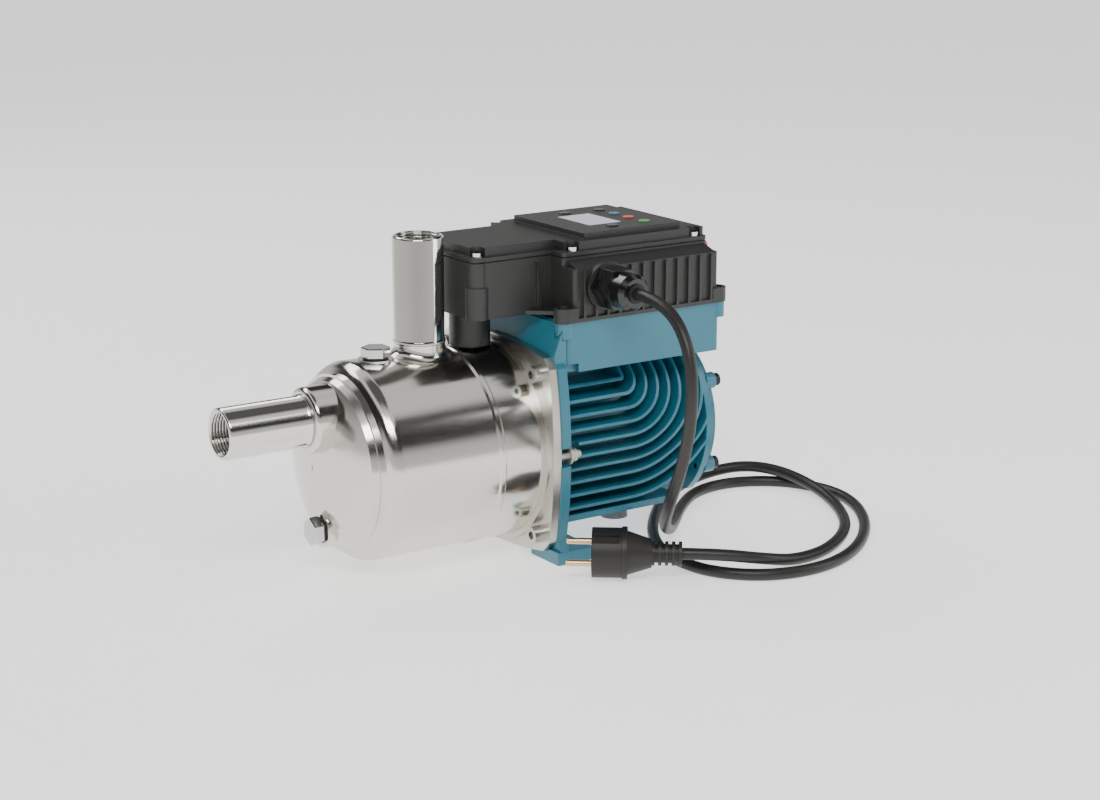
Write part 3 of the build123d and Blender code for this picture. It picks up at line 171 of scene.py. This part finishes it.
def stainless(name, colour, low, high, grind_mm, stretch):
    """Ground or plated steel: noise drawn out along the grind varies roughness and a very fine bump."""
    m = new_material(name)
    place = add(m, "ShaderNodeTexCoord")
    along = add(m, "ShaderNodeMapping", Vector=place.outputs["Object"], Scale=stretch)
    grind = add(m, "ShaderNodeTexNoise", Vector=along.outputs[0], Scale=1000 / grind_mm, Detail=3.0)
    rough = add(m, "ShaderNodeMapRange", Value=grind.outputs["Fac"], To_Min=low, To_Max=high)
    stain = add(m, "ShaderNodeTexNoise", Vector=place.outputs["Object"], Scale=14.0, Detail=2.0)
    tint = add(m, "ShaderNodeMix", {"data_type": "RGBA"}, i0=stain.outputs["Fac"],
               i6=linear(colour), i7=[v * stain_shade for v in linear(colour)[:3]] + [1.0])
    bump = add(m, "ShaderNodeBump", Strength=0.04, Distance=0.0001, Height=grind.outputs["Fac"])
    shader = add(m, "ShaderNodeBsdfPrincipled", Base_Color=tint.outputs[2], Metallic=1.0,
                 Roughness=rough.outputs[0], Normal=bump.outputs[0])
    return surface(m, shader)


barrel_steel = stainless("satin_drawn_stainless", "#DAD7D0", 0.11, 0.19, 1.2, (0.12, 1.0, 1.0))
level_tube = stainless("bright_drawn_tube_stainless_level", "#DDDBD6", 0.09, 0.16, 0.9, (0.08, 1.0, 1.0))
upright_tube = stainless("bright_drawn_tube_stainless_upright", "#DDDBD6", 0.09, 0.16, 0.9, (1.0, 1.0, 0.08))
pressed_steel = stainless("pressed_stainless", "#CFCCC4", 0.24, 0.34, 1.0, (1.0, 1.0, 1.0))
ground_steel = stainless("ground_bearing_steel", "#CACACC", 0.12, 0.20, 0.5, (1.0, 1.0, 1.0))
zinc_steel = stainless("zinc_plated_steel", "#C4C3BD", 0.22, 0.36, 0.8, (1.0, 1.0, 1.0))
dull_zinc = stainless("dull_zinc_plated_stud", "#CFCBC2", 0.42, 0.56, 0.8, (1.0, 1.0, 1.0))
bright_chrome = stainless("bright_zinc_chromate_screw", "#E4E4E4", 0.06, 0.12, 0.6, (1.0, 1.0, 1.0))
black_oxide = stainless("black_oxide_screw_steel", "#3A3A3C", 0.30, 0.42, 0.6, (1.0, 1.0, 1.0))
print("materials in the file, with the frame's own:", len(bpy.data.materials))

# %% [markdown]
# ## Painted and moulded surfaces
# The bracket and motor frame are cast aluminium under blue powder coat. Powder melts and levels, which
# leaves a soft sheen and a faint orange peel. That is about half a millimetre wide in life, and is
# drawn at 0.9 mm here so that it shows. The drive is glass filled nylon, moulded against a spark
# eroded tool, so it is matt with a fine grain. Both have small rounded edges that catch a line of
# light. A bevel node rounds the shading there and needs no extra faces, so the CAD mesh stays as it is.

# %% Painted and moulded materials
def moulded(name, colour, roughness, grain_mm, depth, edge_mm, coat=0.0, ior=1.5, mottle=0.12):
    """A skin with an even grain, slight colour drift, and softened edges."""
    m = new_material(name)
    place = add(m, "ShaderNodeTexCoord")
    drift = add(m, "ShaderNodeTexNoise", Vector=place.outputs["Object"], Scale=22.0, Detail=3.0)
    tint = add(m, "ShaderNodeMix", {"data_type": "RGBA"}, i0=drift.outputs["Fac"],
               i6=linear(colour), i7=[v * (1 - mottle) for v in linear(colour)[:3]] + [1.0])
    grain = add(m, "ShaderNodeTexNoise", Vector=place.outputs["Object"], Scale=1000 / grain_mm, Detail=2.0)
    rough = add(m, "ShaderNodeMapRange", Value=grain.outputs["Fac"],
                To_Min=roughness - 0.05, To_Max=roughness + 0.05)
    edge = add(m, "ShaderNodeBevel", {"samples": 4}, Radius=edge_mm / 1000)
    bump = add(m, "ShaderNodeBump", Strength=depth, Distance=0.0002,
               Height=grain.outputs["Fac"], Normal=edge.outputs[0])
    shader = add(m, "ShaderNodeBsdfPrincipled", Base_Color=tint.outputs[2], Roughness=rough.outputs[0],
                 IOR=ior, Coat_Weight=coat, Coat_Roughness=0.2, Normal=bump.outputs[0])
    return surface(m, shader)


blue_coat = moulded("blue_powder_coat_on_cast_aluminium", "#2A7388", 0.36, 0.9, 0.22, 1.2, coat=0.2)
nylon = moulded("glass_filled_nylon_spark_grain", "#2C2C2B", 0.44, 0.8, 0.35, 0.8)
gloss_nylon = moulded("glossy_nylon", "#0F0F0F", 0.20, 1.5, 0.08, 0.6, coat=0.3)
grey_nylon = moulded("grey_nylon", "#77797A", 0.42, 0.9, 0.2, 0.6)
epdm = moulded("epdm_rubber", "#1A1A1A", 0.62, 0.7, 0.2, 0.3)
pvc = moulded("pvc_flex_sheath", "#1F1C1A", 0.42, 0.9, 0.30, 0.2)
plug_rubber = moulded("moulded_plug_rubber", "#1F1D1B", 0.48, 0.8, 0.30, 0.5)
red_abs = moulded("red_abs", "#D8262B", 0.26, 1.2, 0.05, 0.3, coat=0.4)
green_abs = moulded("green_abs", "#2E9C3A", 0.26, 1.2, 0.05, 0.3, coat=0.4)
blue_abs = moulded("blue_grey_abs", "#3C6A96", 0.30, 1.2, 0.05, 0.3, coat=0.3)
black_abs = moulded("black_abs", "#151515", 0.32, 1.2, 0.05, 0.3, coat=0.3)
carbon = moulded("carbon_seal_face", "#3A3A3A", 0.35, 0.4, 0.10, 0.2)
print("materials in the file, with the frame's own:", len(bpy.data.materials))

# %% [markdown]
# ## Metals and boards inside
# These parts are hidden until someone opens the pump, and they still get their own finish. Motor
# cores are stacks of thin electrical steel, so their sides show fine lines. Windings are enamelled
# copper wire, side by side. Boards are green solder mask over woven glass. Plug pins are brass with
# a thin nickel plating that lets some warmth through.

# %% Inner materials
radians_per_unit = 20      # phase of the wave texture in one unit, so a band repeats every 6.3 band_mm


def banded(name, colour, dark, band_mm, direction, metallic, roughness):
    """Parallel bands, one per sheet or wire, drawn coarser than life where they would vanish."""
    m = new_material(name)
    place = add(m, "ShaderNodeTexCoord")
    bands = add(m, "ShaderNodeTexWave", {"bands_direction": direction}, Vector=place.outputs["Object"],
                Scale=1000 / band_mm / radians_per_unit, Distortion=0.3, Detail=1.0)
    tint = add(m, "ShaderNodeMix", {"data_type": "RGBA"}, i0=bands.outputs["Fac"],
               i6=linear(dark), i7=linear(colour))
    bump = add(m, "ShaderNodeBump", Strength=0.4, Distance=0.0003, Height=bands.outputs["Fac"])
    shader = add(m, "ShaderNodeBsdfPrincipled", Base_Color=tint.outputs[2], Metallic=metallic,
                 Roughness=roughness, Normal=bump.outputs[0])
    return surface(m, shader)


core_sheets = banded("electrical_steel_stack", "#6E6E70", "#3C3C3E", 1.0, "X", 1.0, 0.42)
copper_wire = banded("enamelled_copper_wire", "#B5642E", "#5A2A12", 1.2, "Z", 1.0, 0.34)
circuit_board = banded("green_solder_mask", "#14552B", "#0D3F1F", 2.5, "Y", 0.0, 0.35)
nickel_brass = banded("nickel_plated_brass", "#E2C79B", "#CDB084", 6.0, "Z", 1.0, 0.22)
print("materials in the file, with the frame's own:", len(bpy.data.materials))

# %% [markdown]
# ## The drive's lid and its display
# The lid is the same nylon as the housing, but its raised panel carries a printed polyester film,
# a little lighter. The film is flat and sits inside the panel's edge, so a mask made from height and
# place is enough to change the colour there. The display is a clear window over a
# backlit field.

# %% Lid and display materials
film_half_width = 0.0445   # m, from the middle of the lid to the film's edge
film_low_z = 0.2417        # m, just under the top of the raised panel
lid_nylon = nylon.copy()
lid_nylon.name = "nylon_lid_with_polyester_film"
principled = next(n for n in lid_nylon.node_tree.nodes if n.type == "BSDF_PRINCIPLED")
nylon_tint = principled.inputs["Base Color"].links[0].from_socket
spot = add(lid_nylon, "ShaderNodeTexCoord")
xyz = add(lid_nylon, "ShaderNodeSeparateXYZ", Vector=spot.outputs["Object"])
raised = add(lid_nylon, "ShaderNodeMath", {"operation": "GREATER_THAN"},
           i0=xyz.outputs["Z"], i1=film_low_z)
side = add(lid_nylon, "ShaderNodeMath", {"operation": "ABSOLUTE"}, i0=xyz.outputs["Y"])
within = add(lid_nylon, "ShaderNodeMath", {"operation": "LESS_THAN"},
             i0=side.outputs[0], i1=film_half_width)
film = add(lid_nylon, "ShaderNodeMath", {"operation": "MULTIPLY"},
           i0=raised.outputs[0], i1=within.outputs[0])
film_tint = add(lid_nylon, "ShaderNodeMix", {"data_type": "RGBA"}, i0=film.outputs[0],
                i6=nylon_tint, i7=linear("#3C3C3B"))
lid_nylon.node_tree.links.new(film_tint.outputs[2], principled.inputs["Base Color"])

screen = new_material("clear_acrylic_over_backlit_display")
glow_place = add(screen, "ShaderNodeTexCoord")
cells = add(screen, "ShaderNodeTexNoise", Vector=glow_place.outputs["Object"], Scale=60.0, Detail=1.0)
field = add(screen, "ShaderNodeMix", {"data_type": "RGBA"}, i0=cells.outputs["Fac"],
            i6=linear("#BFC6E0"), i7=linear("#D2D7EA"))
surface(screen, add(screen, "ShaderNodeBsdfPrincipled", Base_Color=field.outputs[2], Roughness=0.12,
                    Coat_Weight=0.5, Emission_Color=field.outputs[2], Emission_Strength=0.25))
print("film edge at", 1000 * film_half_width, "mm from the middle")

# %% [markdown]
# ## Finish for every part
# Each CAD part keeps its mesh and takes a finish by name. A table in code is easy to check: the
# assert under it stops the script if any part was forgotten.

# %% Assign finishes
finish_of = {
    barrel_steel: ["casing_shell", "seal_plate"],
    level_tube: ["suction_pipe"],
    upright_tube: ["discharge_pipe"],
    pressed_steel: ["casing_flange", "stage_casing_1", "stage_casing_2", "stage_casing_3", "stage_spacer",
                    "impeller_1", "impeller_2", "impeller_3"],
    ground_steel: ["shaft", "impeller_nut", "seal_head", "front_bearing_inner", "front_bearing_outer",
                   "front_bearing_balls", "rear_bearing_inner", "rear_bearing_outer", "rear_bearing_balls",
                   "filling_plug", "drain_plug"],
    zinc_steel: ["casing_screws", "housing_screws"],
    dull_zinc: ["side_studs"],
    bright_chrome: ["lid_screws"],
    black_oxide: ["shield_screws"],
    blue_coat: ["motor_bracket", "motor_frame", "rear_shield"],
    nylon: ["drive_housing", "flow_sensor"],
    lid_nylon: ["drive_lid"],
    gloss_nylon: ["gland_body", "gland_nut", "capacitors"],
    grey_nylon: ["rear_support"],
    epdm: ["casing_seal", "filling_plug_seal", "drain_plug_seal", "gland_seal", "lid_gasket"],
    pvc: ["power_cord"],
    plug_rubber: ["plug_body"],
    red_abs: ["button_stop", "status_lamp"],
    green_abs: ["button_start"],
    blue_abs: ["button_mode"],
    black_abs: ["button_minus", "button_plus", "button_set"],
    carbon: ["seal_seat"],
    core_sheets: ["rotor_core", "stator_core"],
    copper_wire: ["stator_winding"],
    circuit_board: ["control_board", "power_board"],
    nickel_brass: ["plug_pins"],
    screen: ["display_window"],
}
for material, names in finish_of.items():
    for name in names:
        nodes[name].data.materials.clear()
        nodes[name].data.materials.append(material)
lead.data.materials.append(pvc)
forgotten = sorted(set(nodes) - {name for names in finish_of.values() for name in names})
assert not forgotten, forgotten
print("parts with a finish:", len(nodes))

# %% [markdown]
# ## Pipes with a pipe thread
# Both pipes are drawn tube with a G1 female thread: 11 turns to the inch, so 2.309 mm apart, over the
# first 19.5 mm. A screw modifier could sweep a tooth, but it leaves open ends inside the wall. Here
# the bore is a grid of rings and columns, and each point is pushed outward by how far it lies along
# the tooth, so the helix is part of one closed skin. The far end has the low bead of the weld that
# joins tube and casing.

# %% Thread profile
pitch = 0.002309           # m from tooth to tooth
crest_r = 0.01515          # m, inner edge of the teeth
root_r = 0.01655           # m, bottom of the groove
bore_r = 0.0162            # m, plain bore behind the thread
thread_depth = 0.0195      # m of thread from the mouth
fade_length = 0.0008       # m over which the groove opens at each end of the thread
chamfer = 0.0012           # m of cone at the mouth


def bore_at(depth, turn):
    """Radius of the threaded bore, at a depth from the mouth and a share of a turn."""
    if depth > thread_depth:
        return bore_r
    tooth = abs(((depth / pitch - turn) % 1.0) * 2 - 1)
    fade = min(1.0, depth / fade_length, (thread_depth - depth) / fade_length)
    groove = max(0.0, min(1.0, tooth * 1.5 - 0.25))
    lead_in = max(0.0, chamfer - depth)
    return crest_r + (root_r - crest_r) * groove * fade + lead_in


print("pipe threads:", round(thread_depth / pitch, 1), "turns each")

# %% Threaded pipes
tube_r = 0.019             # m, outside of the tube
columns = 128
rings_per_turn = 10
thread_rings = math.ceil(thread_depth / pitch * rings_per_turn)
plain_from = 0.0205        # m, first ring that is certainly behind the thread
rim = 0.0005               # m, last ring before the far end


def ring(mesh, depth, radius_at):
    """One ring of points; the radius may change with the share of a turn."""
    points = []
    for c in range(columns):
        radius, angle = radius_at(c / columns), c * math.tau / columns
        points.append(mesh.verts.new((radius * math.cos(angle), radius * math.sin(angle), depth)))
    return points


def threaded_pipe(name, mouth, inward, length, material):
    """One closed tube: lip, outer wall, weld bead, plain bore and thread."""
    bead = [(length, tube_r + 0.0007), (length - 0.0012, tube_r + 0.0009),
            (length - 0.0026, tube_r + 0.0003), (length - 0.0032, tube_r)]
    lip = [(0.0018, tube_r), (0.0009, tube_r - 0.0004), (0.0003, tube_r - 0.001), (0.0, tube_r - 0.002)]
    thread = [step * pitch / rings_per_turn for step in range(1, thread_rings + 1)]
    inner = thread + [plain_from, length - rim, length]
    mesh = bmesh.new()
    loops = []
    for depth, radius in bead + lip:
        loops.append(ring(mesh, depth, lambda turn: radius))
    for depth in inner:
        loops.append(ring(mesh, depth, lambda turn: bore_at(depth, turn)))
    for one, two in zip(loops, loops[1:] + loops[:1]):
        for c in range(columns):
            n = (c + 1) % columns
            mesh.faces.new((one[c], one[n], two[n], two[c]))
    bmesh.ops.recalc_face_normals(mesh, faces=mesh.faces)
    for face in mesh.faces:
        face.smooth = True
    data = bpy.data.meshes.new(name)
    mesh.to_mesh(data)
    mesh.free()
    data.transform(Matrix.Translation(mouth) @ Vector(inward).to_track_quat("Z", "Y").to_matrix().to_4x4())
    data.materials.append(material)
    pipe = bpy.data.objects.new(name, data)
    bpy.context.scene.collection.objects.link(pipe)
    return pipe


# %% Set both pipes in place
low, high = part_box("suction_pipe")
middle = (Vector(low) + Vector(high)) / 2
suction = threaded_pipe("threaded_suction_pipe", (low[0], middle.y, middle.z), (1, 0, 0),
                        high[0] - low[0], level_tube)
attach(suction, "pump_body")
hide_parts("suction_pipe")
low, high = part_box("discharge_pipe")
middle = (Vector(low) + Vector(high)) / 2
discharge = threaded_pipe("threaded_discharge_pipe", (middle.x, middle.y, high[2]), (0, 0, -1),
                          high[2] - low[2], upright_tube)
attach(discharge, "pump_body")
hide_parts("discharge_pipe")
print("pipe faces:", len(suction.data.polygons), len(discharge.data.polygons))

# %% [markdown]

print("mains lead added")

# %% [markdown]
# ## Studio
# Steel needs something to reflect. A plain white room makes it look like paper, so the room here has
# a bright horizon, a dark band above it, then a bright strip like a row of ceiling lamps, and a darker
# top. On a barrel these turn into long stripes that show it is round. The floor is pale matt paper
# that glows strongly, as a sweep does when it has lamps of its own.

# %% Floor
floor_mesh = bpy.data.meshes.new("studio_floor")
floor_half = 20
floor_mesh.from_pydata([(-floor_half, -floor_half, 0), (floor_half, -floor_half, 0),
                        (floor_half, floor_half, 0), (-floor_half, floor_half, 0)], [], [(0, 1, 2, 3)])
floor = bpy.data.objects.new("studio_floor", floor_mesh)
bpy.context.scene.collection.objects.link(floor)
paper = new_material("matt_white_paper")
fibre_place = add(paper, "ShaderNodeTexCoord")
fibre = add(paper, "ShaderNodeTexNoise", Vector=fibre_place.outputs["Object"], Scale=40.0, Detail=2.0)
white = add(paper, "ShaderNodeMix", {"data_type": "RGBA"}, i0=fibre.outputs["Fac"],
            i6=linear("#F6F6F5"), i7=linear("#FAFAF9"))
surface(paper, add(paper, "ShaderNodeBsdfPrincipled", Base_Color=white.outputs[2], Roughness=0.9,
                   Emission_Color=white.outputs[2], Emission_Strength=0.95))
floor_mesh.materials.append(paper)
print("floor side:", 2 * floor_half, "m")

# %% The room that the steel reflects
world = bpy.data.worlds.new("studio")
world.use_nodes = True
world.node_tree.nodes.clear()
bpy.context.scene.world = world
sky_place = add(world, "ShaderNodeTexCoord")
sky_xyz = add(world, "ShaderNodeSeparateXYZ", Vector=sky_place.outputs["Generated"])
sky = add(world, "ShaderNodeValToRGB", Fac=sky_xyz.outputs["Z"])
stops = [(0.0, "#F4F4F2"), (0.21, "#EAEAE8"), (0.36, "#3C3C3D"), (0.46, "#2C2C2D"), (0.70, "#3A3A3B"),
         (0.78, "#FFFFFF"), (0.89, "#FFFFFF"), (0.95, "#5A5A5B"), (1.0, "#6A6A6A")]
while len(sky.color_ramp.elements) < len(stops):
    sky.color_ramp.elements.new(0.5)
for element, (position, code) in zip(sky.color_ramp.elements, stops):
    element.position, element.color = position, linear(code)
glow = add(world, "ShaderNodeBackground", Color=sky.outputs[0], Strength=0.9)
add(world, "ShaderNodeOutputWorld", Surface=glow.outputs[0])
print("room stops:", len(stops))

# %% Lamps
pump_middle = Vector((-0.03, 0, 0.12))


def softbox(name, place, size, power):
    """A rectangular lamp that looks at the middle of the pump."""
    lamp = bpy.data.lights.new(name, "AREA")
    lamp.shape, lamp.size, lamp.size_y = "RECTANGLE", size[0], size[1]
    lamp.energy = power
    holder = bpy.data.objects.new(name, lamp)
    holder.location = place
    holder.rotation_euler = (pump_middle - Vector(place)).to_track_quat("-Z", "Y").to_euler()
    bpy.context.scene.collection.objects.link(holder)


softbox("key_softbox", (-1.0, -1.6, 1.9), (1.6, 0.7), 36.0)
softbox("side_softbox", (1.6, -1.2, 1.0), (0.9, 1.2), 12.0)
softbox("rim_softbox", (-0.4, 1.6, 1.6), (1.8, 0.6), 16.0)
print("lamps:", len(bpy.data.lights))
